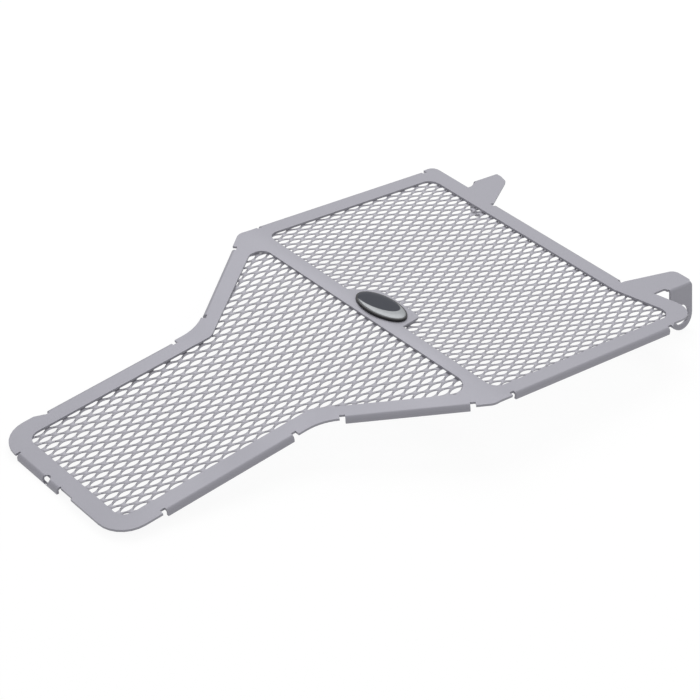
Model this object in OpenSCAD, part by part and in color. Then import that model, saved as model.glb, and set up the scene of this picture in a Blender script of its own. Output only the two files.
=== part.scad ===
/* [Sheet] */
// Thickness of the steel sheet
sheet_t = 1.5; // [1:0.1:2.5]
// Outside radius of every bend
bend_r = 2.4; // [2.2:0.1:4]
// Depth of the stiffening flanges, from the top face
flange_depth = 4.2; // [4:0.2:9]
// Angle between the two panels at the crossbar
fold_angle = 10.4; // [4:0.2:20]
// Width of a relief notch at a flange end
relief_w = 3.2; // [1.5:0.1:4]
// Width of the near flange's relief notches
near_relief_w = 1; // [0.6:0.1:3]
// Depth of a relief notch, past the bend
relief_in = 0.6; // [0.4:0.1:1.5]

/* [Lower panel] */
// Length from the crossbar's fold to the near end
lower_len = 223; // [200:1:250]
// Centre to the left side of the narrow stretch
side_left = 57.5; // [50:0.5:65]
// Centre to the right side of the narrow stretch
side_right = 56.2; // [50:0.2:65]
// Width of the border along the narrow sides
side_rail = 11.8; // [9:0.2:14]
// Width of the border at the near end
near_rail = 12.5; // [9:0.5:16]
// Width of the border along the tapers
taper_rail = 10.8; // [9:0.2:13]
// Radius of the near corners
near_corner_r = 18; // [12:1:24]
// Fold to the waist, where the tapers start
waist_d = 83.4; // [75:0.2:95]
// Radius of the waist
waist_r = 32; // [20:1:34]
// Fold to the point where a taper of the window ends
taper_end_d = 18; // [16.5:0.5:26]
// Lean of the window's edge at the crossbar, at its right end
crossbar_lean = 2.6; // [0:0.2:3]
// Fold to the end of the left taper's flange
left_taper_flange_d = 20.4; // [19:0.2:26]
// Fold to the end of the right taper's flange
right_taper_flange_d = 15.2; // [14:0.2:20]
// Clear edge between a waist and the side flange
waist_clear_side = 19; // [14:0.5:24]
// Clear edge between a waist and the taper's flange
waist_clear_taper = 13.6; // [13.2:0.2:18]
// Near end: start of the flange, left of the centre
near_flange_left = 37; // [30:0.5:38]
// Near end: end of the flange, right of the centre
near_flange_right = 1; // [-4:0.5:10]
// Near end: length of the shallow cut beside the flange
near_cut_w = 12; // [8:0.5:16]
// Set-back of the near edge, right of the shallow cut
near_step = 1.2; // [0:0.1:2]
// Clear edge between a near corner and the side flange
near_clear = 34; // [32:0.5:40]
// Length of the slope beside the left side flange's near end
near_slope = 9; // [6:0.5:12]
// Set-back of that slope beside the flange
near_slope_in = 3.4; // [2:0.2:4]
// Diameter of the drain hole in the near bend
drain_d = 5.5; // [3:0.5:7]
// Place of the drain hole, left of the centre
drain_x = 10; // [4:0.5:20]

/* [Upper panel] */
// Length from the crossbar's fold to the far edge
upper_len = 158; // [140:1:175]
// Centre to the left shoulder
shoulder_left = 114.4; // [106:0.2:120]
// Centre to the right shoulder
shoulder_right = 112; // [106:0.2:120]
// Width of the border along the left side
left_rail = 12; // [9:0.5:14]
// Width of the border along the right side
right_rail = 10.7; // [9:0.1:14]
// Width of the border at the far edge
far_rail = 13; // [9:0.5:16]
// Outward lean of the left side, at the far edge
left_flare = 1.2; // [0:0.2:5]
// Radius of the window corners
window_r = 7.5; // [4:0.5:8]
// Radius of the lower window's corner at the crossbar's right end
crossbar_corner_r = 10; // [4:0.5:10]
// Width of the crossbar
crossbar_w = 11.5; // [10:0.5:16]
// Radius of the left shoulder
left_shoulder_r = 6; // [4:0.5:8]
// Radius of the right shoulder
right_shoulder_r = 9; // [4:0.5:10]
// Fold to the corner of the left shoulder
left_shoulder_d = 7.4; // [6:0.2:10]
// Fold to the corner of the right shoulder
right_shoulder_d = 3.8; // [3.4:0.2:8]
// Set-back of the left shoulder's edge beside the flange
left_step = 2; // [0:0.1:2.2]
// Distance from the side to the end of a taper of the window
shoulder_in = 10; // [8:0.2:14]
// Fold to the start of the left side flange
left_flange_start = 9; // [6:0.5:16]
// Fold to the start of the right side flange
right_flange_start = 13; // [6:0.5:16]
// Clear edge between the far edge and the left side flange
left_flange_end = 12.6; // [11:0.2:22]
// Clear edge between the far edge and the right side flange
right_flange_end = 17; // [14:0.5:22]
// Half length of the flange on the far edge
far_flange_half = 55; // [40:0.5:56]
// Angle at which the far edge rises to the right corner
rise_angle = 15; // [6:0.5:18]
// Radius of the right far corner
far_corner_r = 12; // [8:0.5:14]
// Radius of the left far corner
left_corner_r = 5; // [4:0.5:8]
// Where the far edge starts to rise, right of the centre
rise_x = 60; // [58:0.5:66]
// Set-back of the right far corner from the side
corner_in = 3.6; // [2:0.1:6]

/* [Hangers] */
// Angle of the left hanger's fold
left_fold = 90; // [70:1:90]
// Angle of the right hanger's fold
right_fold = 77; // [70:1:90]
// Width of a hanger leg
leg_w = 19.5; // [18:0.5:24]
// Diameter of the hanger bores
bore_d = 13; // [8:0.2:14]
// Bend to the centre of the bore
bore_down = 16.8; // [14:0.2:20]
// Fold line of the left hanger, from the centre
left_fold_x = 88; // [84:0.5:92]
// Fold line of the right hanger, from the centre
right_fold_x = 82.2; // [80:0.2:88]
// Middle of the left leg, past the far edge
left_leg_out = 20; // [19:0.5:24]
// Middle of the right leg, past the far edge
right_leg_out = 26; // [22:0.2:30]
// Width of the left arm at its tip
left_tip_w = 10; // [7:0.5:12]
// Slope of the left arm's end, over its width
left_tip_in = 3; // [0:0.5:5]
// Width of the right arm at its tip
right_tip_w = 14; // [9:0.5:15]
// Radius of an arm's tip
tip_r = 5; // [3:0.5:6]
// Right arm's end, past its leg
right_tip_over = 1.4; // [1:0.2:3]
// Set-back of the left arm's edge beside its leg
left_arm_in = 3; // [0:0.2:5]
// Set-back of the right arm's edge beside its leg
right_arm_in = 2; // [1:0.2:4]

/* [Mesh] */
// Thickness of the expanded metal
mesh_t = 1.2; // [0.8:0.1:2]
// Pitch of the openings across the guard
mesh_pitch_x = 11.2; // [10.4:0.1:16]
// Pitch of the openings along the guard
mesh_pitch_y = 19.2; // [18:0.1:26]
// Width of a strand
strand_w = 2.4; // [1.6:0.1:3]
// Lap of the mesh under the borders
mesh_lap = 5; // [3:0.5:6.5]
// Gap between the two mesh panels under the crossbar
mesh_gap = 1.6; // [1:0.2:4]

/* [Badge] */
// Length of the badge
badge_l = 37.6; // [34:0.2:38]
// Width of the badge
badge_w = 20.8; // [18:0.2:21]
// Height of the badge's rim
badge_rim_h = 1.6; // [0.8:0.1:2]
// Height of the dome over the rim
badge_dome_h = 0.9; // [0.6:0.1:2]
// Step from the rim's edge to the dome
badge_step = 0.8; // [0.4:0.1:1.5]
// Middle of the badge, right of the centre
badge_x = 1.1; // [0:0.1:2]
// Fold to the middle of the badge
badge_y = 9; // [8:0.2:10]
// Turn of the badge on its pad
badge_turn = 4.6; // [0:0.2:6]
// Depth of the pad, from the fold
pad_depth = 22.2; // [21.6:0.2:26]
// Pad's corner, left of the centre
pad_far_left = 14.2; // [14:0.2:18]
// Pad's corner, right of the centre
pad_far_right = 21; // [20.4:0.2:24]
// Pad's foot, left of the centre
pad_left = 29; // [28:0.5:34]
// Pad's foot, right of the centre
pad_right = 25; // [24.5:0.5:30]
// Radius of the pad's left corner
pad_left_r = 14; // [6:0.5:15]
// Radius of the pad's right corner
pad_right_r = 4; // [3:0.5:8]

/* [Hidden] */
eps = 0.01;
bend_lap = 1;
arc_steps = 7;
ellipse_steps = 48;
dome_rings = 6;

far_left_x = shoulder_left + left_flare;
widest = 2 * max(shoulder_left, shoulder_right);
left_flange_top = upper_len - left_flange_end;
right_flange_top = upper_len - right_flange_end;
corner_x = shoulder_right - corner_in;
far_rise = (shoulder_right - rise_x) * tan(rise_angle);
corner_tip = [corner_x, upper_len + (corner_x - rise_x) * tan(rise_angle)];
left_leg_y = upper_len + left_leg_out;
right_leg_y = upper_len + right_leg_out;
leg_len = bore_down + leg_w / 2;
left_tip_y = left_leg_y + leg_w / 2 + 1;
right_tip_y = right_leg_y + leg_w / 2 + right_tip_over;

// Height of a leg's lowest point under the top face
function leg_drop(fold) = bend_r * (1 - cos(fold)) + leg_len * sin(fold);

// A point of the upper panel, given as [y, z], seen in the lower panel's frame
function folded(p) = [
    p.x * cos(fold_angle) + p.y * sin(fold_angle),
    p.y * cos(fold_angle) - p.x * sin(fold_angle)
];

// The guard lies on its near flange and on the leg that reaches lower
near_foot = [-lower_len, -flange_depth];
leg_feet = [
    folded([left_leg_y, -leg_drop(left_fold)]),
    folded([right_leg_y, -leg_drop(right_fold)])
];
pitch = max([for (foot = leg_feet) -atan2(foot.y - near_foot.y, foot.x - near_foot.x)]);

function levelled(p) = [
    p.x * cos(pitch) - p.y * sin(pitch),
    p.x * sin(pitch) + p.y * cos(pitch)
];
near_end = levelled(near_foot);
far_end = levelled(folded([right_tip_y, 0]));
origin = [
    (shoulder_right - far_left_x) / 2,
    (near_end.x + far_end.x) / 2,
    near_end.y
];

// Points of a polygon whose corners, given as [x, y, radius], are rounded
function unit(v) = v / norm(v);
function flat2(p) = [p.x, p.y];
function corner(a, b, c, r) =
    let(
        u = unit(a - b),
        v = unit(c - b),
        half = acos(max(-1, min(1, u * v))) / 2,
        middle = b + unit(u + v) * r / sin(half),
        first = b + u * r / tan(half) - middle,
        last = b + v * r / tan(half) - middle,
        start = atan2(first.y, first.x),
        turn = atan2(first.x * last.y - first.y * last.x, first * last)
    )
    [for (i = [0 : arc_steps])
        middle + r * [cos(start + turn * i / arc_steps), sin(start + turn * i / arc_steps)]];
function rounded(points) =
    let(n = len(points))
    [for (i = [0 : n - 1])
        let(
            before = flat2(points[(i + n - 1) % n]),
            here = flat2(points[i]),
            after = flat2(points[(i + 1) % n])
        )
        each points[i][2] > 0 ? corner(before, here, after, points[i][2]) : [here]];

// Corners of a polygon whose edges are moved inwards, each by its own distance
function inward(a, b) = let(d = unit(b - a)) [-d.y, d.x];
function inset(points, distances) =
    let(n = len(points))
    [for (i = [0 : n - 1])
        let(
            before = inward(points[(i + n - 1) % n], points[i]),
            after = inward(points[i], points[(i + 1) % n]),
            c = before * after,
            d1 = distances[(i + n - 1) % n],
            d2 = distances[i]
        )
        points[i] + (d1 * (before - c * after) + d2 * (after - c * before)) / (1 - c * c)];
function with_radius(points, r) = [for (i = [0 : len(points) - 1])
    [points[i].x, points[i].y, is_list(r) ? r[i] : r]];

// Lines that the window borders are measured from
lower_shape = [
    [-side_left, -lower_len],
    [side_right, -lower_len],
    [side_right, -waist_d],
    [shoulder_right - shoulder_in, -taper_end_d],
    [shoulder_right - shoulder_in, crossbar_lean],
    [shoulder_in - shoulder_left, 0],
    [shoulder_in - shoulder_left, -taper_end_d],
    [-side_left, -waist_d]
];
upper_shape = [
    [-shoulder_left, 0],
    [shoulder_right, 0],
    [shoulder_right, upper_len + far_rise],
    [rise_x, upper_len],
    [-far_left_x, upper_len]
];
function lower_window(grow) = inset(lower_shape, [
    near_rail - grow, side_rail - grow, taper_rail - grow, right_rail - grow, crossbar_w / 2 - grow,
    left_rail - grow, taper_rail - grow, side_rail - grow
]);
function upper_window(grow) = inset(upper_shape, [
    crossbar_w / 2 - grow, right_rail - grow, far_rail - grow, far_rail - grow, left_rail - grow
]);

lower_window_r = [
    window_r, window_r, window_r, window_r / 3, crossbar_corner_r, window_r, window_r / 3, window_r
];

module lower_outline() {
    polygon(rounded([
        [-side_left, -lower_len, near_corner_r],
        [near_flange_right + near_cut_w / 2, -lower_len, 0],
        [near_flange_right + near_cut_w / 2, near_step - lower_len, 0],
        [side_right, near_step - lower_len, near_corner_r],
        [side_right, -waist_d, waist_r],
        [shoulder_right, -right_shoulder_d, right_shoulder_r],
        [shoulder_right, 0, 0],
        [left_step - shoulder_left, 0, 0],
        [-shoulder_left, -left_shoulder_d, left_shoulder_r],
        [-side_left, -waist_d, waist_r],
        [-side_left, near_clear - lower_len - relief_w / 2, 0],
        [near_slope_in - side_left, near_clear - lower_len - relief_w / 2, 0],
        [-side_left, near_clear - lower_len - near_slope, 0]
    ]));
}

module upper_outline() {
    polygon(rounded([
        [left_step - shoulder_left, 0, 0],
        [shoulder_right, 0, 0],
        [shoulder_right, right_flange_top + relief_w / 2, 0],
        [corner_x, right_flange_top + relief_w + corner_in, 0],
        [corner_tip.x, corner_tip.y, far_corner_r],
        [rise_x, upper_len, 0],
        [-far_left_x, upper_len, left_corner_r]
    ]));
    left_arm();
    right_arm();
    badge_pad();
}

module left_arm() {
    edge = left_fold_x - bend_r;
    polygon(rounded([
        [left_arm_in - edge, upper_len - far_rail / 2, 0],
        [-far_flange_half - relief_w, upper_len - far_rail / 2, 0],
        [-far_flange_half - relief_w, upper_len, 0],
        [left_tip_w - edge, left_tip_y - left_tip_in, tip_r],
        [-edge, left_tip_y, bend_r],
        [-edge, left_leg_y - leg_w / 2 - 1, 0],
        [left_arm_in - edge, upper_len + left_arm_in, 0]
    ]));
}

module right_arm() {
    edge = right_fold_x - bend_r;
    polygon(rounded([
        [far_flange_half + relief_w, upper_len - far_rail / 2, 0],
        [edge - right_arm_in, upper_len - far_rail / 2, 0],
        [edge - right_arm_in, right_leg_y - leg_w / 2 - 1, right_arm_in / 2],
        [edge, right_leg_y - leg_w / 2 - 1, 0],
        [edge, right_tip_y, bend_r],
        [edge - right_tip_w, right_tip_y, tip_r],
        [far_flange_half + relief_w, upper_len, 0]
    ]));
}

function ellipse(length, width) = [for (i = [0 : ellipse_steps - 1])
    [length / 2 * cos(i * 360 / ellipse_steps), width / 2 * sin(i * 360 / ellipse_steps)]];

module badge_pad() {
    polygon(rounded([
        [-pad_left, 0, 0],
        [-pad_far_left, pad_depth, pad_left_r],
        [pad_far_right, pad_depth, pad_right_r],
        [pad_right, 0, 0]
    ]));
}

// An edge runs from one point to another with the sheet on its left
module along(from, to) {
    run = to - from;
    translate([from.x, from.y, 0])
        rotate([0, 0, atan2(run.y, run.x)])
            children();
}

module flange_cut(from, to, relief) {
    length = norm(to - from);
    along(from, to)
        union() {
            translate([-eps, -bend_r])
                square([length + 2 * eps, 2 * bend_r]);
            for (x = [-relief, length])
                translate([x, -bend_r])
                    square([relief, 2 * bend_r + relief_in]);
        }
}

// Section of a bend and its leg, from the flat sheet outwards
function bend_section(angle, leg) =
    let(
        outer = [for (i = [0 : arc_steps])
            let(a = angle * i / arc_steps) [bend_r * sin(a), bend_r * (cos(a) - 1)]],
        inner = [for (i = [arc_steps : -1 : 0])
            let(a = angle * i / arc_steps)
            [(bend_r - sheet_t) * sin(a), (bend_r - sheet_t) * cos(a) - bend_r]],
        down = leg * [cos(angle), -sin(angle)]
    )
    concat(
        [[-bend_lap, 0]], outer, [outer[arc_steps] + down, inner[0] + down],
        inner, [[-bend_lap, -sheet_t]]
    );

module flange(from, to) {
    length = norm(to - from);
    along(from, to)
        translate([0, bend_r, 0])
            rotate([90, 0, 90])
                linear_extrude(length)
                    mirror([1, 0])
                        polygon(bend_section(90, flange_depth - bend_r));
}

// A hanger leg on the fold line at x, folded down and outwards, with its bore
module hanger_leg(fold_x, middle_y, fold) {
    translate([fold_x - bend_r, middle_y, 0])
        union() {
            translate([0, leg_w / 2, 0])
                rotate([90, 0, 0])
                    linear_extrude(leg_w)
                        polygon(bend_section(fold, 1));
            translate([bend_r * sin(fold), 0, -bend_r * (1 - cos(fold))])
                rotate([0, fold, 0])
                    difference() {
                        translate([0, 0, -sheet_t])
                            linear_extrude(sheet_t)
                                polygon(rounded([
                                    [0, -leg_w / 2, 0],
                                    [leg_len, -leg_w / 2, leg_w / 2 - 0.2],
                                    [leg_len, leg_w / 2, leg_w / 2 - 0.2],
                                    [0, leg_w / 2, 0]
                                ]));
                        translate([bore_down, 0, -2 * sheet_t])
                            cylinder(d = bore_d, h = 4 * sheet_t, $fn = 64);
                    }
        }
}

// Flange lines, each from one end to the other with the sheet on its left
near_flange = [[-near_flange_left, -lower_len], [near_flange_right, -lower_len]];
right_side_flange = [[side_right, near_clear - lower_len], [side_right, -waist_d - waist_clear_side]];
left_side_flange = [[-side_left, -waist_d - waist_clear_side], [-side_left, near_clear - lower_len]];
right_run = unit([shoulder_right - side_right, waist_d - right_shoulder_d]);
right_taper_flange = [
    [side_right, -waist_d] + waist_clear_taper * right_run,
    [side_right, -waist_d] + (waist_d - right_taper_flange_d) / right_run.y * right_run
];
left_run = unit([side_left - shoulder_left, waist_d - left_shoulder_d]);
left_taper_flange = [
    [-side_left, -waist_d] + (waist_d - left_taper_flange_d) / left_run.y * left_run,
    [-side_left, -waist_d] + waist_clear_taper * left_run
];
right_flange = [[shoulder_right, right_flange_start], [shoulder_right, right_flange_top]];
far_flange = [[far_flange_half, upper_len], [-far_flange_half, upper_len]];
left_lean = left_flare / upper_len;
left_flange = [
    [-shoulder_left - left_lean * left_flange_top, left_flange_top],
    [-shoulder_left - left_lean * left_flange_start, left_flange_start]
];
lower_flanges = [near_flange, right_side_flange, right_taper_flange, left_taper_flange, left_side_flange];
upper_flanges = [right_flange, far_flange, left_flange];

module lower_half() {
    difference() {
        union() {
            translate([0, 0, -sheet_t])
                linear_extrude(sheet_t)
                    difference() {
                        lower_outline();
                        polygon(rounded(with_radius(lower_window(0), lower_window_r)));
                        for (edge = lower_flanges)
                            flange_cut(edge[0], edge[1], edge == near_flange ? near_relief_w : relief_w);
                        translate([near_flange_right, -lower_len - bend_r])
                            square([near_cut_w, 2 * bend_r]);
                    }
            for (edge = lower_flanges)
                flange(edge[0], edge[1]);
        }
        translate([-drain_x, -lower_len + bend_r, -bend_r])
            rotate([45, 0, 0])
                cylinder(d = drain_d, h = 2 * bend_r, $fn = 32);
    }
}

module upper_half() {
    translate([0, 0, -sheet_t])
        linear_extrude(sheet_t)
            difference() {
                upper_outline();
                difference() {
                    polygon(rounded(with_radius(upper_window(0), window_r)));
                    badge_pad();
                }
                for (edge = upper_flanges)
                    flange_cut(edge[0], edge[1], relief_w);
            }
    for (edge = upper_flanges)
        flange(edge[0], edge[1]);
    hanger_leg(right_fold_x, right_leg_y, right_fold);
    mirror([1, 0, 0])
        hanger_leg(left_fold_x, left_leg_y, left_fold);
}

// Both panels stand on the guard's feet, the upper one folded at the crossbar
module placed() {
    translate(-origin)
        rotate([pitch, 0, 0])
            children();
}

module on_upper() {
    placed()
        rotate([-fold_angle, 0, 0])
            children();
}

module frame() {
    color([0.69, 0.68, 0.72])
        union() {
            placed()
                lower_half();
            on_upper()
                upper_half();
        }
}

// One opening of the expanded metal, long along the guard
module opening() {
    half_x = mesh_pitch_x / 2 - strand_w / 2;
    half_y = half_x * mesh_pitch_y / mesh_pitch_x;
    polygon([[half_x, 0], [0, half_y], [-half_x, 0], [0, -half_y]]);
}

// Openings over a field, in rows that are offset by half a pitch
module openings(low, high) {
    rows = floor((high.y - low.y) / mesh_pitch_y * 2);
    columns = floor((high.x - low.x) / mesh_pitch_x / 2);
    for (j = [0 : rows])
        for (i = [-columns : columns])
            translate([(i + (j % 2) / 2) * mesh_pitch_x, low.y + j * mesh_pitch_y / 2])
                opening();
}

module mesh_panel(window, outline, low, high) {
    translate([0, 0, -sheet_t - mesh_t])
        linear_extrude(mesh_t)
            difference() {
                polygon(outline);
                intersection() {
                    polygon(window);
                    openings(low, high);
                }
            }
}

module mesh_lower() {
    color([0.6, 0.6, 0.62])
        placed()
            difference() {
                mesh_panel(
                    lower_window(0), lower_window(mesh_lap),
                    [-widest / 2, -lower_len + near_rail], [widest / 2, 0]
                );
                translate([-widest, -mesh_gap / 2, -widest])
                    cube(2 * widest);
            }
}

module mesh_upper() {
    color([0.6, 0.6, 0.62])
        on_upper()
            difference() {
                mesh_panel(
                    upper_window(0), upper_window(mesh_lap),
                    [-widest / 2, 0], [widest / 2, upper_len + far_rise]
                );
                translate([-widest, mesh_gap / 2 - 2 * widest, -widest])
                    cube(2 * widest);
            }
}

module badge_rim() {
    color([0.06, 0.06, 0.07])
        on_upper()
            translate([badge_x, badge_y, 0])
                rotate([0, 0, badge_turn])
                    linear_extrude(badge_rim_h)
                        polygon(ellipse(badge_l, badge_w));
}

// A low dome on the rim: elliptical rings that close in to a flat top
module badge_dome() {
    length = badge_l - 2 * badge_step;
    width = badge_w - 2 * badge_step;
    rings = [for (i = [0 : dome_rings])
        let(a = 80 * i / dome_rings)
        [for (p = ellipse(length, width)) [p.x * cos(a), p.y * cos(a), badge_dome_h * sin(a) / sin(80)]]];
    n = ellipse_steps;
    sides = [for (i = [0 : dome_rings - 1], k = [0 : n - 1])
        [i * n + k, (i + 1) * n + k, (i + 1) * n + (k + 1) % n, i * n + (k + 1) % n]];
    color([0.15, 0.16, 0.2])
        on_upper()
            translate([badge_x, badge_y, badge_rim_h])
                rotate([0, 0, badge_turn])
                    polyhedron(
                        points = [for (ring = rings) each ring],
                        faces = concat(
                            [[for (k = [0 : n - 1]) k]],
                            sides,
                            [[for (k = [n - 1 : -1 : 0]) dome_rings * n + k]]
                        )
                    );
}

frame();
mesh_lower();
mesh_upper();
badge_rim();
badge_dome();
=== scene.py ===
import math

import bmesh
import bpy
from mathutils import Matrix, Vector


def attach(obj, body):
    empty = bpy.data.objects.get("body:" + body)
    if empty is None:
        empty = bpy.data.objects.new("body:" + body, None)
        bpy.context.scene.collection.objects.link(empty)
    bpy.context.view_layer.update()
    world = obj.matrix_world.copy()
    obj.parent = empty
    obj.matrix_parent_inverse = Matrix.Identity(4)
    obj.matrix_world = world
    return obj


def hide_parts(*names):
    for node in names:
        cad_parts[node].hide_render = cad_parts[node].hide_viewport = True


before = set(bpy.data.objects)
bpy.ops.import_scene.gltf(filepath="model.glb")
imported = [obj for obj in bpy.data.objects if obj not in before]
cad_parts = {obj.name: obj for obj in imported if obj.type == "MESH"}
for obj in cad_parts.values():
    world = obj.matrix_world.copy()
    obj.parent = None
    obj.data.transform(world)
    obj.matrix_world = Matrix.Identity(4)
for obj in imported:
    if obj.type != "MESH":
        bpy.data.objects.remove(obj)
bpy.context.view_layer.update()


# The folded frame.
# The real piece is one blank of 1.5 mm steel: two windows are cut out, the edges are folded down
# into narrow stiffening flanges, and two arms are folded down as hangers. Then it is powder coated.
edge_softening = 0.00028
bend_smoothing = math.radians(32)
same_point = 0.000002
flat_within = math.radians(0.5)

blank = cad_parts["frame"]
framed_sheet = bpy.data.objects.new("framed_sheet", blank.data.copy())
bpy.context.scene.collection.objects.link(framed_sheet)
framed_sheet.data.materials.clear()

shell = bmesh.new()
shell.from_mesh(framed_sheet.data)
bmesh.ops.remove_doubles(shell, verts=shell.verts, dist=same_point)
bmesh.ops.dissolve_limit(
    shell,
    angle_limit=flat_within,
    verts=shell.verts,
    edges=shell.edges,
)
for face in shell.faces:
    face.smooth = True
shell.to_mesh(framed_sheet.data)
shell.free()

soft_edges = framed_sheet.modifiers.new("soft_edges", "BEVEL")
soft_edges.width = edge_softening
soft_edges.segments = 3
soft_edges.limit_method = "ANGLE"
soft_edges.angle_limit = bend_smoothing
soft_edges.use_clamp_overlap = True
soft_edges.harden_normals = False
even_shading = framed_sheet.modifiers.new("even_shading", "WEIGHTED_NORMAL")
even_shading.mode = "FACE_AREA"
even_shading.keep_sharp = False

# Powder coat has a fine orange peel, a little metal flake and a slight unevenness of tone.
# One node group gives these for every coated piece.
coat_grain = bpy.data.node_groups.new("coat_grain", "ShaderNodeTree")
coat_grain.interface.new_socket("Colour", in_out="INPUT", socket_type="NodeSocketColor")
coat_grain.interface.new_socket("Roughness", in_out="INPUT", socket_type="NodeSocketFloat")
coat_grain.interface.new_socket("Peel Size", in_out="INPUT", socket_type="NodeSocketFloat")
coat_grain.interface.new_socket("Flake Size", in_out="INPUT", socket_type="NodeSocketFloat")
coat_grain.interface.new_socket("Flake Strength", in_out="INPUT", socket_type="NodeSocketFloat")
coat_grain.interface.new_socket("Colour", in_out="OUTPUT", socket_type="NodeSocketColor")
coat_grain.interface.new_socket("Roughness", in_out="OUTPUT", socket_type="NodeSocketFloat")
coat_grain.interface.new_socket("Height", in_out="OUTPUT", socket_type="NodeSocketFloat")
grain_in = coat_grain.nodes.new("NodeGroupInput")
grain_out = coat_grain.nodes.new("NodeGroupOutput")
place = coat_grain.nodes.new("ShaderNodeTexCoord")
peel = coat_grain.nodes.new("ShaderNodeTexNoise")
peel.inputs["Detail"].default_value = 2.0
peel.inputs["Roughness"].default_value = 0.45
flake = coat_grain.nodes.new("ShaderNodeTexVoronoi")
cloud = coat_grain.nodes.new("ShaderNodeTexNoise")
cloud.inputs["Scale"].default_value = 22.0
cloud.inputs["Detail"].default_value = 3.0
flake_tone = coat_grain.nodes.new("ShaderNodeMapRange")
flake_tone.inputs["From Min"].default_value = 0.0
flake_tone.inputs["From Max"].default_value = 1.0
flake_tone.inputs["To Min"].default_value = -1.0
flake_tone.inputs["To Max"].default_value = 1.0
flake_part = coat_grain.nodes.new("ShaderNodeMath")
flake_part.operation = "MULTIPLY"
cloud_part = coat_grain.nodes.new("ShaderNodeMapRange")
cloud_part.inputs["From Min"].default_value = 0.3
cloud_part.inputs["From Max"].default_value = 0.7
cloud_part.inputs["To Min"].default_value = 0.985
cloud_part.inputs["To Max"].default_value = 1.015
tone = coat_grain.nodes.new("ShaderNodeMath")
tone.operation = "ADD"
shade = coat_grain.nodes.new("ShaderNodeVectorMath")
shade.operation = "SCALE"
rough_shift = coat_grain.nodes.new("ShaderNodeMapRange")
rough_shift.inputs["From Min"].default_value = 0.3
rough_shift.inputs["From Max"].default_value = 0.7
rough_shift.inputs["To Min"].default_value = -0.04
rough_shift.inputs["To Max"].default_value = 0.04
rough_sum = coat_grain.nodes.new("ShaderNodeMath")
rough_sum.operation = "ADD"
coat_grain.links.new(place.outputs["Object"], peel.inputs["Vector"])
coat_grain.links.new(place.outputs["Object"], flake.inputs["Vector"])
coat_grain.links.new(place.outputs["Object"], cloud.inputs["Vector"])
coat_grain.links.new(grain_in.outputs["Peel Size"], peel.inputs["Scale"])
coat_grain.links.new(grain_in.outputs["Flake Size"], flake.inputs["Scale"])
coat_grain.links.new(flake.outputs["Color"], flake_tone.inputs["Value"])
coat_grain.links.new(flake_tone.outputs["Result"], flake_part.inputs[0])
coat_grain.links.new(grain_in.outputs["Flake Strength"], flake_part.inputs[1])
coat_grain.links.new(cloud.outputs["Fac"], cloud_part.inputs["Value"])
coat_grain.links.new(cloud_part.outputs["Result"], tone.inputs[0])
coat_grain.links.new(flake_part.outputs["Value"], tone.inputs[1])
coat_grain.links.new(grain_in.outputs["Colour"], shade.inputs[0])
coat_grain.links.new(tone.outputs["Value"], shade.inputs["Scale"])
coat_grain.links.new(shade.outputs["Vector"], grain_out.inputs["Colour"])
coat_grain.links.new(cloud.outputs["Fac"], rough_shift.inputs["Value"])
coat_grain.links.new(rough_shift.outputs["Result"], rough_sum.inputs[0])
coat_grain.links.new(grain_in.outputs["Roughness"], rough_sum.inputs[1])
coat_grain.links.new(rough_sum.outputs["Value"], grain_out.inputs["Roughness"])
coat_grain.links.new(peel.outputs["Fac"], grain_out.inputs["Height"])

frame_coat = bpy.data.materials.new("silver_powder_coat")
frame_coat.use_nodes = True
coat_shader = frame_coat.node_tree.nodes["Principled BSDF"]
coat_shader.inputs["Metallic"].default_value = 0.25
coat_shader.inputs["Specular IOR Level"].default_value = 0.45
grain = frame_coat.node_tree.nodes.new("ShaderNodeGroup")
grain.node_tree = coat_grain
grain.inputs["Colour"].default_value = (0.324, 0.320, 0.360, 1.0)
grain.inputs["Roughness"].default_value = 0.46
grain.inputs["Peel Size"].default_value = 1500.0
grain.inputs["Flake Size"].default_value = 5200.0
grain.inputs["Flake Strength"].default_value = 0.035
peel_bump = frame_coat.node_tree.nodes.new("ShaderNodeBump")
peel_bump.inputs["Strength"].default_value = 0.12
peel_bump.inputs["Distance"].default_value = 0.00003
frame_coat.node_tree.links.new(grain.outputs["Colour"], coat_shader.inputs["Base Color"])
frame_coat.node_tree.links.new(grain.outputs["Roughness"], coat_shader.inputs["Roughness"])
frame_coat.node_tree.links.new(grain.outputs["Height"], peel_bump.inputs["Height"])
frame_coat.node_tree.links.new(peel_bump.outputs["Normal"], coat_shader.inputs["Normal"])
framed_sheet.data.materials.append(frame_coat)
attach(framed_sheet, "root")
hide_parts("frame")


# The expanded metal of both panels.
# The real mesh is one sheet, slit and pulled open, so that every bond and strand lies at a slant.
# It is sheared to the window's shape and spot welded to the back of the borders.
pitch_across = 0.0070
pitch_along = 0.0120
strand_t = 0.00036
half_bond_w = 0.00162
half_opening_l = 0.0047
opening_fullness = 2.0
slant = -0.11
edge_round = 0.0001

half_across = pitch_across / 2
half_along = pitch_along / 2
opening_half_w = half_across - half_bond_w


def opening_edge(part):
    """Half width of an opening at a part of its half length"""
    return opening_half_w * (1 - abs(part) ** opening_fullness)


# Where the line to the next opening's centre meets the opening's edge, found in small steps
meeting = 0.1
meeting_step = 0.002
for step in range(200):
    if meeting * half_across < opening_edge(meeting * half_along / half_opening_l):
        meeting += meeting_step
meeting_y = meeting * half_along


def side_arc(side):
    """Edge of the opening beside a bond, from below to above"""
    points = []
    for k in range(6):
        y = meeting_y * (2 * k / 5 - 1)
        points.append((side * (half_across - opening_edge(y / half_opening_l)), y))
    return points


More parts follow.
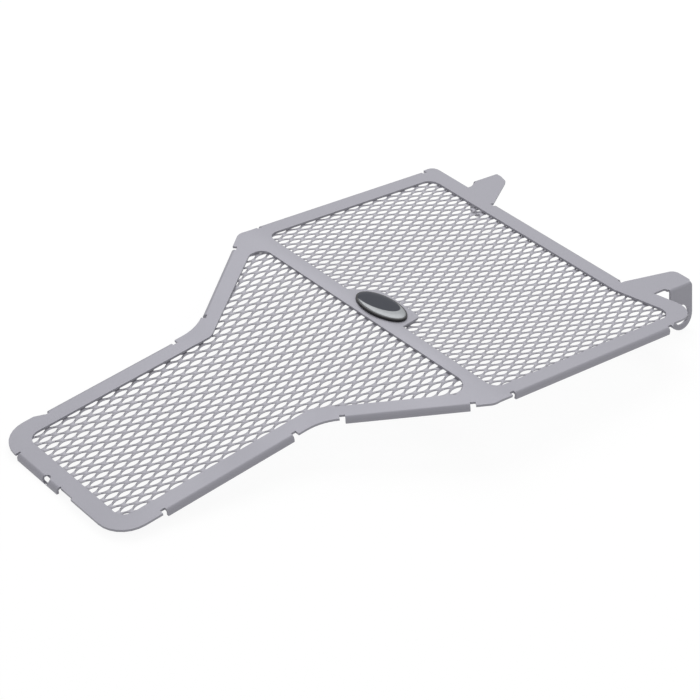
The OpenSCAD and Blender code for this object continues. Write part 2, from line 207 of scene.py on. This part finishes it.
def tip_arc(end):
    """Edge of the opening over or under a bond, from right to left"""
    points = []
    for part in (1.0, 0.45, 0.0, -0.45, -1.0):
        x = part * meeting * half_across
        reach = (1 - abs(x) / opening_half_w) ** (1 / opening_fullness)
        points.append((x, end * (half_along - half_opening_l * reach)))
    return points


bond_outline = side_arc(1) + tip_arc(1) + side_arc(-1)[::-1] + tip_arc(-1)[::-1]
bond_patches = (
    (5, 6, 7, 4),
    (4, 7, 8, 3),
    (10, 11, 12, 9),
    (9, 12, 13, 8),
    (16, 17, 18, 15),
    (15, 18, 19, 14),
    (21, 0, 1, 20),
    (20, 1, 2, 19),
    (3, 8, 19, 2),
    (14, 19, 8, 13),
)
arm_ends = (5, 10, 16, 21)
split_y = half_along - half_opening_l
split_x = half_bond_w / 2


def slanted(x, y):
    """Height of the middle of the metal over a point of the bond and its four half strands"""
    if abs(y) <= split_y:
        return slant * x
    run = min(1, (abs(y) - split_y) / (half_along / 2 - split_y))
    side = 1 if x > 0 else -1
    middle = side * (split_x + (half_across / 2 - split_x) * run)
    return slant * (side * split_x * (1 - run) + x - middle)


bond_mesh = bpy.data.meshes.new("bond")
bond = bmesh.new()
lean = math.atan(slant)
rings = []
for level, inset in ((-0.5, 0.0), (0.5, 0.0), (0.5, edge_round)):
    ring = []
    for x, y in bond_outline:
        depth = edge_round if level > 0 and not inset else 0
        away = level * strand_t - depth
        length = math.hypot(x, y)
        ring.append(
            bond.verts.new(
                (
                    x * (1 - inset / length) - away * math.sin(lean),
                    y,
                    slanted(x, y) + away * math.cos(lean),
                )
            )
        )
    rings.append(ring)
count = len(bond_outline)
for low, high in ((rings[0], rings[1]), (rings[1], rings[2])):
    for k in range(count):
        if k not in arm_ends:
            bond.faces.new((low[k], low[(k + 1) % count], high[(k + 1) % count], high[k]))
for patch in bond_patches:
    bond.faces.new([rings[2][k] for k in patch])
    bond.faces.new([rings[0][k] for k in reversed(patch)])
for face in bond.faces:
    face.smooth = True
bond.to_mesh(bond_mesh)
bond.free()
bond_unit = bpy.data.objects.new("bond_unit", bond_mesh)
bpy.context.scene.collection.objects.link(bond_unit)

# The node tree lays bonds out in offset rows, keeps those whose middle lies over the sheet's
# outline, joins them into one mesh and bows it a little, as the stretched metal lies.
expanding = bpy.data.node_groups.new("expanded_metal", "GeometryNodeTree")
expanding.interface.new_socket("Geometry", in_out="INPUT", socket_type="NodeSocketGeometry")
expanding.interface.new_socket("Bond", in_out="INPUT", socket_type="NodeSocketObject")
expanding.interface.new_socket("Pitch Across", in_out="INPUT", socket_type="NodeSocketFloat")
expanding.interface.new_socket("Pitch Along", in_out="INPUT", socket_type="NodeSocketFloat")
expanding.interface.new_socket("First Bond", in_out="INPUT", socket_type="NodeSocketVector")
expanding.interface.new_socket("Bow", in_out="INPUT", socket_type="NodeSocketFloat")
expanding.interface.new_socket("Bow Middle", in_out="INPUT", socket_type="NodeSocketVector")
expanding.interface.new_socket("Bow Half Width", in_out="INPUT", socket_type="NodeSocketFloat")
expanding.interface.new_socket("Bow Half Length", in_out="INPUT", socket_type="NodeSocketFloat")
expanding.interface.new_socket("Coat", in_out="INPUT", socket_type="NodeSocketMaterial")
expanding.interface.new_socket("Geometry", in_out="OUTPUT", socket_type="NodeSocketGeometry")

field_columns = 41
field_rows = 47
look_from_above = 0.01
look_down = 0.02
same_strand_end = 0.00002


def panel_node(kind, **settings):
    """A node of the tree, with its settings"""
    node = expanding.nodes.new(kind)
    for name, value in settings.items():
        setattr(node, name, value)
    return node


def panel_link(output, target):
    """A link of the tree"""
    expanding.links.new(output, target)


tree_in = panel_node("NodeGroupInput")
tree_out = panel_node("NodeGroupOutput")
grid = panel_node("GeometryNodeMeshGrid")
grid.inputs["Size X"].default_value = field_columns - 1
grid.inputs["Size Y"].default_value = field_rows - 1
grid.inputs["Vertices X"].default_value = field_columns
grid.inputs["Vertices Y"].default_value = field_rows
spot = panel_node("GeometryNodeInputPosition")
spot_parts = panel_node("ShaderNodeSeparateXYZ")
odd = panel_node("ShaderNodeMath", operation="FLOORED_MODULO")
odd.inputs[1].default_value = 2.0
half_step = panel_node("ShaderNodeMath", operation="MULTIPLY")
half_step.inputs[1].default_value = 0.5
column = panel_node("ShaderNodeMath", operation="ADD")
across = panel_node("ShaderNodeMath", operation="MULTIPLY")
half_pitch = panel_node("ShaderNodeMath", operation="MULTIPLY")
half_pitch.inputs[1].default_value = 0.5
along = panel_node("ShaderNodeMath", operation="MULTIPLY")
laid = panel_node("ShaderNodeCombineXYZ")
laid_from = panel_node("ShaderNodeVectorMath", operation="ADD")
lay_out = panel_node("GeometryNodeSetPosition")
panel_link(spot.outputs["Position"], spot_parts.inputs["Vector"])
panel_link(spot_parts.outputs["Y"], odd.inputs[0])
panel_link(odd.outputs["Value"], half_step.inputs[0])
panel_link(spot_parts.outputs["X"], column.inputs[0])
panel_link(half_step.outputs["Value"], column.inputs[1])
panel_link(column.outputs["Value"], across.inputs[0])
panel_link(tree_in.outputs["Pitch Across"], across.inputs[1])
panel_link(tree_in.outputs["Pitch Along"], half_pitch.inputs[0])
panel_link(spot_parts.outputs["Y"], along.inputs[0])
panel_link(half_pitch.outputs["Value"], along.inputs[1])
panel_link(across.outputs["Value"], laid.inputs["X"])
panel_link(along.outputs["Value"], laid.inputs["Y"])
panel_link(laid.outputs["Vector"], laid_from.inputs[0])
panel_link(tree_in.outputs["First Bond"], laid_from.inputs[1])
panel_link(grid.outputs["Mesh"], lay_out.inputs["Geometry"])
panel_link(laid_from.outputs["Vector"], lay_out.inputs["Position"])

over_spot = panel_node("GeometryNodeInputPosition")
over = panel_node("ShaderNodeVectorMath", operation="ADD")
over.inputs[1].default_value = (0.0, 0.0, look_from_above)
under = panel_node("GeometryNodeRaycast")
under.inputs["Ray Direction"].default_value = (0.0, 0.0, -1.0)
under.inputs["Ray Length"].default_value = look_down
bonds = panel_node("GeometryNodeInstanceOnPoints")
unit = panel_node("GeometryNodeObjectInfo")
real = panel_node("GeometryNodeRealizeInstances")
weld = panel_node("GeometryNodeMergeByDistance")
weld.inputs["Distance"].default_value = same_strand_end
panel_link(tree_in.outputs["Geometry"], under.inputs["Target Geometry"])
panel_link(over_spot.outputs["Position"], over.inputs[0])
panel_link(over.outputs["Vector"], under.inputs["Source Position"])
panel_link(lay_out.outputs["Geometry"], bonds.inputs["Points"])
panel_link(under.outputs["Is Hit"], bonds.inputs["Selection"])
panel_link(tree_in.outputs["Bond"], unit.inputs["Object"])
panel_link(unit.outputs["Geometry"], bonds.inputs["Instance"])
panel_link(bonds.outputs["Instances"], real.inputs["Geometry"])
panel_link(real.outputs["Geometry"], weld.inputs["Geometry"])

bow_spot = panel_node("GeometryNodeInputPosition")
bow_from = panel_node("ShaderNodeVectorMath", operation="SUBTRACT")
bow_parts = panel_node("ShaderNodeSeparateXYZ")
panel_link(bow_spot.outputs["Position"], bow_from.inputs[0])
panel_link(tree_in.outputs["Bow Middle"], bow_from.inputs[1])
panel_link(bow_from.outputs["Vector"], bow_parts.inputs["Vector"])
bow_factors = []
for axis, half in (("X", "Bow Half Width"), ("Y", "Bow Half Length")):
    share = panel_node("ShaderNodeMath", operation="DIVIDE")
    square = panel_node("ShaderNodeMath", operation="MULTIPLY")
    fall = panel_node("ShaderNodeMath", operation="SUBTRACT", use_clamp=True)
    fall.inputs[0].default_value = 1.0
    panel_link(bow_parts.outputs[axis], share.inputs[0])
    panel_link(tree_in.outputs[half], share.inputs[1])
    panel_link(share.outputs["Value"], square.inputs[0])
    panel_link(share.outputs["Value"], square.inputs[1])
    panel_link(square.outputs["Value"], fall.inputs[1])
    bow_factors.append(fall)
bow_both = panel_node("ShaderNodeMath", operation="MULTIPLY")
bow_depth = panel_node("ShaderNodeMath", operation="MULTIPLY")
bow_down = panel_node("ShaderNodeMath", operation="MULTIPLY")
bow_down.inputs[1].default_value = -1.0
bow_shift = panel_node("ShaderNodeCombineXYZ")
bowed = panel_node("GeometryNodeSetPosition")
coated = panel_node("GeometryNodeSetMaterial")
panel_link(bow_factors[0].outputs["Value"], bow_both.inputs[0])
panel_link(bow_factors[1].outputs["Value"], bow_both.inputs[1])
panel_link(bow_both.outputs["Value"], bow_depth.inputs[0])
panel_link(tree_in.outputs["Bow"], bow_depth.inputs[1])
panel_link(bow_depth.outputs["Value"], bow_down.inputs[0])
panel_link(bow_down.outputs["Value"], bow_shift.inputs["Z"])
panel_link(weld.outputs["Geometry"], bowed.inputs["Geometry"])
panel_link(bow_shift.outputs["Vector"], bowed.inputs["Offset"])
panel_link(bowed.outputs["Geometry"], coated.inputs["Geometry"])
panel_link(tree_in.outputs["Coat"], coated.inputs["Material"])
panel_link(coated.outputs["Geometry"], tree_out.inputs["Geometry"])

mesh_coat = bpy.data.materials.new("coated_expanded_metal")
mesh_coat.use_nodes = True
mesh_shader = mesh_coat.node_tree.nodes["Principled BSDF"]
mesh_shader.inputs["Metallic"].default_value = 0.25
mesh_shader.inputs["Specular IOR Level"].default_value = 0.45
mesh_grain = mesh_coat.node_tree.nodes.new("ShaderNodeGroup")
mesh_grain.node_tree = coat_grain
# This is the frame's silver coat painted lighter than the frame: painted light that makes up for
# the shade on the strands' thin walls, so the mesh reads as bright as the frame.
mesh_grain.inputs["Colour"].default_value = (0.390, 0.385, 0.426, 1.0)
mesh_grain.inputs["Roughness"].default_value = 0.5
mesh_grain.inputs["Peel Size"].default_value = 1700.0
mesh_grain.inputs["Flake Size"].default_value = 5200.0
mesh_grain.inputs["Flake Strength"].default_value = 0.05
mesh_bump = mesh_coat.node_tree.nodes.new("ShaderNodeBump")
mesh_bump.inputs["Strength"].default_value = 0.15
mesh_bump.inputs["Distance"].default_value = 0.00003
mesh_coat.node_tree.links.new(mesh_grain.outputs["Colour"], mesh_shader.inputs["Base Color"])
mesh_coat.node_tree.links.new(mesh_grain.outputs["Roughness"], mesh_shader.inputs["Roughness"])
mesh_coat.node_tree.links.new(mesh_grain.outputs["Height"], mesh_bump.inputs["Height"])
mesh_coat.node_tree.links.new(mesh_bump.outputs["Normal"], mesh_shader.inputs["Normal"])

# Places of the two flat panels: both hinge on the fold in the crossbar, the guard lies on its
# near flange and its two legs, and the far panel drops from the fold.
near_tilt = math.radians(8.17089)
fold = math.radians(10.4)
fold_place = Vector((0.0018, 0.0125685, 0.0358515))
near_place = Matrix.Translation(fold_place) @ Matrix.Rotation(near_tilt, 4, "X")
far_place = near_place @ Matrix.Rotation(-fold, 4, "X")
most_sides_of_a_cut_end = 12


def expanded_panel(name, node, outline, first_bond, bow, bow_middle, bow_half, depth, place):
    """One panel of expanded metal, sheared to an outline in millimetres on its flat plane"""
    sheet = bpy.data.meshes.new(name + "_outline")
    corners = [(x / 1000, y / 1000, 0.0) for x, y in outline]
    sheet.from_pydata(corners, [], [list(range(len(corners)))])
    host = bpy.data.objects.new(name + "_outline", sheet)
    bpy.context.scene.collection.objects.link(host)
    grow = host.modifiers.new("grow", "NODES")
    grow.node_group = expanding
    values = {
        "Bond": bond_unit,
        "Pitch Across": pitch_across,
        "Pitch Along": pitch_along,
        "First Bond": (first_bond[0] / 1000, first_bond[1] / 1000, 0.0),
        "Bow": bow / 1000,
        "Bow Middle": (bow_middle[0] / 1000, bow_middle[1] / 1000, 0.0),
        "Bow Half Width": bow_half[0] / 1000,
        "Bow Half Length": bow_half[1] / 1000,
        "Coat": mesh_coat,
    }
    for item in expanding.interface.items_tree:
        if item.in_out == "INPUT" and item.name in values:
            grow[item.identifier] = values[item.name]
    bpy.context.view_layer.update()
    depsgraph = bpy.context.evaluated_depsgraph_get()
    grown = bpy.data.meshes.new_from_object(host.evaluated_get(depsgraph), depsgraph=depsgraph)
    bpy.data.objects.remove(host)
    sheared = bmesh.new()
    sheared.from_mesh(grown)
    rim = [edge for edge in sheared.edges if edge.is_boundary]
    bmesh.ops.holes_fill(sheared, edges=rim, sides=most_sides_of_a_cut_end)
    sheared.transform(place @ Matrix.Translation((0.0, 0.0, -depth / 1000)))
    for face in sheared.faces:
        face.smooth = True
    sheared.to_mesh(grown)
    sheared.free()
    piece = bpy.data.objects.new(name, grown)
    bpy.context.scene.collection.objects.link(piece)
    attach(piece, "root")
    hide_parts(node)


expanded_panel(
    name="near_mesh",
    node="mesh_lower",
    outline=[
        (-50.7, -206.5),
        (-44.0, -215.5),
        (40.0, -215.5),
        (49.4, -205.5),
        (49.4, -85.0),
        (96.3, -19.0),
        (96.3, -0.8),
        (-97.4, -0.8),
        (-97.4, -18.0),
        (-50.7, -84.0),
    ],
    first_bond=(-0.41, -94.74),
    bow=2.0,
    bow_middle=(0.0, -105.0),
    bow_half=(54.0, 105.0),
    depth=1.9,
    place=near_place,
)
expanded_panel(
    name="far_mesh",
    node="mesh_upper",
    outline=[
        (-107.4, 0.8),
        (106.3, 0.8),
        (106.3, 163.0),
        (60.0, 150.0),
        (-109.8, 150.0),
    ],
    first_bond=(1.88, 83.51),
    bow=3.7,
    bow_middle=(11.0, 75.0),
    bow_half=(96.0, 72.0),
    depth=1.9,
    place=far_place,
)
bpy.data.objects.remove(bond_unit)


# The badge's carrier.
# The real piece is a black moulded oval, glued to the pad in the crossbar, and its edge stays
# visible all round under the dome.
carrier_black = bpy.data.materials.new("black_carrier")
carrier_black.use_nodes = True
black_shader = carrier_black.node_tree.nodes["Principled BSDF"]
black_shader.inputs["Specular IOR Level"].default_value = 0.3
black_shader.inputs["Coat Weight"].default_value = 0.15
black_shader.inputs["Coat Roughness"].default_value = 0.08
black_grain = carrier_black.node_tree.nodes.new("ShaderNodeGroup")
black_grain.node_tree = coat_grain
black_grain.inputs["Colour"].default_value = (0.012, 0.012, 0.014, 1.0)
black_grain.inputs["Roughness"].default_value = 0.22
black_grain.inputs["Peel Size"].default_value = 900.0
black_grain.inputs["Flake Size"].default_value = 3000.0
black_grain.inputs["Flake Strength"].default_value = 0.02
black_bump = carrier_black.node_tree.nodes.new("ShaderNodeBump")
black_bump.inputs["Strength"].default_value = 0.05
black_bump.inputs["Distance"].default_value = 0.00002
carrier_black.node_tree.links.new(black_grain.outputs["Colour"], black_shader.inputs["Base Color"])
carrier_black.node_tree.links.new(
    black_grain.outputs["Roughness"], black_shader.inputs["Roughness"]
)
carrier_black.node_tree.links.new(black_grain.outputs["Height"], black_bump.inputs["Height"])
carrier_black.node_tree.links.new(black_bump.outputs["Normal"], black_shader.inputs["Normal"])

badge_centre = Vector((0.0011, 0.0090, 0.0))
badge_turn = math.radians(4.6)
badge_place = far_place @ Matrix.Translation(badge_centre) @ Matrix.Rotation(badge_turn, 4, "Z")
carrier_half = (0.0188, 0.0104)
carrier_h = 0.0016
oval_steps = 96

carrier_mesh = bpy.data.meshes.new("badge_carrier")
carrier = bmesh.new()
carrier_rings = []
for inset, height in (
    (0.0, 0.0),
    (0.0, 0.0010),
    (0.00012, 0.00135),
    (0.0004, carrier_h),
    (0.0011, carrier_h),
):
    carrier_ring = []
    for k in range(oval_steps):
        turn = 2 * math.pi * k / oval_steps
        carrier_ring.append(
            carrier.verts.new(
                (
                    (carrier_half[0] - inset) * math.cos(turn),
                    (carrier_half[1] - inset) * math.sin(turn),
                    height,
                )
            )
        )
    carrier_rings.append(carrier_ring)
for low, high in zip(carrier_rings, carrier_rings[1:]):
    for k in range(oval_steps):
        carrier.faces.new((low[k], low[(k + 1) % oval_steps], high[(k + 1) % oval_steps], high[k]))
carrier.faces.new(carrier_rings[-1])
carrier.faces.new(list(reversed(carrier_rings[0])))
for face in carrier.faces:
    face.smooth = len(face.verts) == 4
carrier.transform(badge_place)
carrier.to_mesh(carrier_mesh)
carrier.free()
carrier_mesh.materials.append(carrier_black)
badge_carrier = bpy.data.objects.new("badge_carrier", carrier_mesh)
bpy.context.scene.collection.objects.link(badge_carrier)
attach(badge_carrier, "root")
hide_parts("badge_rim")


# The badge's dome.
# The real piece is a clear dome cast over a printed foil: a charcoal oval lies off centre on a
# silver ground, which shows as a crescent along the near edge and the right end.
dome_half = (0.0177, 0.0093)
dome_h = 0.0008
dome_rings = 14
dome_fullness = 0.55

dome_mesh = bpy.data.meshes.new("badge_dome")
dome = bmesh.new()
dome_uv = dome.loops.layers.uv.new("face")
last_ring = None
first_ring = None
for i in range(dome_rings):
    part = i / dome_rings
    rise = math.sin(part * math.pi / 2)
    spread = math.cos(part * math.pi / 2) ** dome_fullness if part else 1.0
    ring = []
    for k in range(oval_steps):
        turn = 2 * math.pi * k / oval_steps
        ring.append(
            dome.verts.new(
                (
                    dome_half[0] * spread * math.cos(turn),
                    dome_half[1] * spread * math.sin(turn),
                    carrier_h + dome_h * rise,
                )
            )
        )
    if last_ring:
        for k in range(oval_steps):
            dome.faces.new(
                (last_ring[k], last_ring[(k + 1) % oval_steps], ring[(k + 1) % oval_steps], ring[k])
            )
    else:
        first_ring = ring
    last_ring = ring
peak = dome.verts.new((0.0, 0.0, carrier_h + dome_h))
for k in range(oval_steps):
    dome.faces.new((last_ring[k], last_ring[(k + 1) % oval_steps], peak))
dome.faces.new(list(reversed(first_ring)))
for face in dome.faces:
    face.smooth = len(face.verts) < 5
    for loop in face.loops:
        loop[dome_uv].uv = (loop.vert.co.x * 1000, loop.vert.co.y * 1000)
dome.transform(badge_place)
dome.to_mesh(dome_mesh)
dome.free()

badge_face = bpy.data.materials.new("domed_badge_face")
badge_face.use_nodes = True
face_tree = badge_face.node_tree
face_shader = face_tree.nodes["Principled BSDF"]
face_shader.inputs["Coat Weight"].default_value = 0.2
face_shader.inputs["Coat Roughness"].default_value = 0.03
face_shader.inputs["Specular IOR Level"].default_value = 0.12
face_map = face_tree.nodes.new("ShaderNodeUVMap")
face_map.uv_map = "face"
oval_place = face_tree.nodes.new("ShaderNodeMapping")
oval_place.vector_type = "TEXTURE"
oval_place.inputs["Location"].default_value = (-4.0, 1.2, 0.0)
oval_place.inputs["Rotation"].default_value = (0.0, 0.0, math.radians(8))
oval_place.inputs["Scale"].default_value = (15.2, 7.7, 1.0)
oval_reach = face_tree.nodes.new("ShaderNodeVectorMath")
oval_reach.operation = "LENGTH"
oval_mask = face_tree.nodes.new("ShaderNodeMapRange")
oval_mask.inputs["From Min"].default_value = 0.985
oval_mask.inputs["From Max"].default_value = 1.015
foil = face_tree.nodes.new("ShaderNodeMix")
foil.data_type = "RGBA"
foil.inputs["A"].default_value = (0.018, 0.022, 0.036, 1.0)
foil.inputs["B"].default_value = (0.255, 0.266, 0.276, 1.0)
foil_grain = face_tree.nodes.new("ShaderNodeGroup")
foil_grain.node_tree = coat_grain
foil_grain.inputs["Roughness"].default_value = 0.35
foil_grain.inputs["Peel Size"].default_value = 700.0
foil_grain.inputs["Flake Size"].default_value = 6000.0
foil_grain.inputs["Flake Strength"].default_value = 0.12
foil_metal = face_tree.nodes.new("ShaderNodeMath")
foil_metal.operation = "MULTIPLY"
foil_metal.inputs[1].default_value = 0.5
face_tree.links.new(face_map.outputs["UV"], oval_place.inputs["Vector"])
face_tree.links.new(oval_place.outputs["Vector"], oval_reach.inputs[0])
face_tree.links.new(oval_reach.outputs["Value"], oval_mask.inputs["Value"])
face_tree.links.new(oval_mask.outputs["Result"], foil.inputs["Factor"])
face_tree.links.new(foil.outputs["Result"], foil_grain.inputs["Colour"])
face_tree.links.new(foil_grain.outputs["Colour"], face_shader.inputs["Base Color"])
face_tree.links.new(foil_grain.outputs["Roughness"], face_shader.inputs["Roughness"])
face_tree.links.new(oval_mask.outputs["Result"], foil_metal.inputs[0])
face_tree.links.new(foil_metal.outputs["Value"], face_shader.inputs["Metallic"])
dome_mesh.materials.append(badge_face)
badge_lens = bpy.data.objects.new("badge_lens", dome_mesh)
bpy.context.scene.collection.objects.link(badge_lens)
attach(badge_lens, "root")
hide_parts("badge_dome")


# The studio: a pale floor that runs out to white, one softbox above the guard, behind it and to
# its left, and the camera at the photograph's place, to the right of the guard's near end.
floor_mesh = bpy.data.meshes.new("studio_floor")
floor_mesh.from_pydata([(-6, -6, 0), (6, -6, 0), (6, 6, 0), (-6, 6, 0)], [], [(0, 1, 2, 3)])
studio_floor = bpy.data.objects.new("studio_floor", floor_mesh)
bpy.context.scene.collection.objects.link(studio_floor)
floor_paint = bpy.data.materials.new("pale_floor")
floor_paint.use_nodes = True
floor_tree = floor_paint.node_tree
floor_tree.nodes.remove(floor_tree.nodes["Principled BSDF"])
floor_end = floor_tree.nodes["Material Output"]
floor_matt = floor_tree.nodes.new("ShaderNodeBsdfDiffuse")
floor_matt.inputs["Color"].default_value = (0.80, 0.80, 0.80, 1.0)
floor_shaded = floor_tree.nodes.new("ShaderNodeBsdfDiffuse")
floor_shaded.inputs["Color"].default_value = (0.11, 0.11, 0.11, 1.0)
floor_white = floor_tree.nodes.new("ShaderNodeEmission")
floor_white.inputs["Color"].default_value = (1.0, 1.0, 1.0, 1.0)
floor_white.inputs["Strength"].default_value = 0.91
floor_ray = floor_tree.nodes.new("ShaderNodeLightPath")
floor_camera_or_gloss = floor_tree.nodes.new("ShaderNodeMath")
floor_camera_or_gloss.operation = "ADD"
floor_camera_or_gloss.use_clamp = True
floor_seen = floor_tree.nodes.new("ShaderNodeMath")
floor_seen.operation = "ADD"
floor_seen.use_clamp = True
floor_bright = floor_tree.nodes.new("ShaderNodeAddShader")
floor_mix = floor_tree.nodes.new("ShaderNodeMixShader")
floor_tree.links.new(floor_ray.outputs["Is Camera Ray"], floor_camera_or_gloss.inputs[0])
floor_tree.links.new(floor_ray.outputs["Is Glossy Ray"], floor_camera_or_gloss.inputs[1])
floor_tree.links.new(floor_camera_or_gloss.outputs["Value"], floor_seen.inputs[0])
floor_tree.links.new(floor_ray.outputs["Is Transmission Ray"], floor_seen.inputs[1])
floor_tree.links.new(floor_shaded.outputs["BSDF"], floor_bright.inputs[0])
floor_tree.links.new(floor_white.outputs["Emission"], floor_bright.inputs[1])
floor_tree.links.new(floor_seen.outputs["Value"], floor_mix.inputs["Fac"])
floor_tree.links.new(floor_matt.outputs["BSDF"], floor_mix.inputs[1])
floor_tree.links.new(floor_bright.outputs["Shader"], floor_mix.inputs[2])
floor_tree.links.new(floor_mix.outputs["Shader"], floor_end.inputs["Surface"])
floor_mesh.materials.append(floor_paint)

studio = bpy.data.worlds.new("studio")
bpy.context.scene.world = studio
studio.use_nodes = True
sky = studio.node_tree.nodes["Background"]
sky.inputs["Color"].default_value = (1.0, 1.0, 1.0, 1.0)
sky_ray = studio.node_tree.nodes.new("ShaderNodeLightPath")
sky_camera_or_gloss = studio.node_tree.nodes.new("ShaderNodeMath")
sky_camera_or_gloss.operation = "ADD"
sky_seen = studio.node_tree.nodes.new("ShaderNodeMath")
sky_seen.operation = "ADD"
sky_seen.use_clamp = True
sky_level = studio.node_tree.nodes.new("ShaderNodeMapRange")
sky_level.inputs["To Min"].default_value = 0.62
sky_level.inputs["To Max"].default_value = 1.0
studio.node_tree.links.new(sky_ray.outputs["Is Camera Ray"], sky_camera_or_gloss.inputs[0])
studio.node_tree.links.new(sky_ray.outputs["Is Glossy Ray"], sky_camera_or_gloss.inputs[1])
studio.node_tree.links.new(sky_camera_or_gloss.outputs["Value"], sky_seen.inputs[0])
studio.node_tree.links.new(sky_ray.outputs["Is Transmission Ray"], sky_seen.inputs[1])
studio.node_tree.links.new(sky_seen.outputs["Value"], sky_level.inputs["Value"])
studio.node_tree.links.new(sky_level.outputs["Result"], sky.inputs["Strength"])

top_light = bpy.data.lights.new("top_softbox", "AREA")
top_light.shape = "RECTANGLE"
top_light.size = 1.3
top_light.size_y = 1.0
top_light.energy = 10.5
top_lamp = bpy.data.objects.new("top_softbox", top_light)
bpy.context.scene.collection.objects.link(top_lamp)
top_lamp.location = (-0.75, 0.65, 1.3)
lamp_aim = -Vector(top_lamp.location)
top_lamp.rotation_euler = lamp_aim.to_track_quat("-Z", "Y").to_euler()

lens = bpy.data.cameras.new("camera")
lens.sensor_width = 36.0
lens.lens = 113.82
lens.clip_start = 0.01
camera = bpy.data.objects.new("camera", lens)
bpy.context.scene.collection.objects.link(camera)
camera_place = Vector((0.798536, -0.737767, 0.731663))
camera_aim = Vector((0.009405, -0.006983, 0.02))
camera_roll = math.radians(4.1734)
camera_look = (camera_aim - camera_place).to_track_quat("-Z", "Y").to_matrix().to_4x4()
camera.matrix_world = (
    Matrix.Translation(camera_place) @ camera_look @ Matrix.Rotation(camera_roll, 4, "Z")
)
bpy.context.scene.camera = camera
bpy.context.scene.view_settings.view_transform = "Standard"
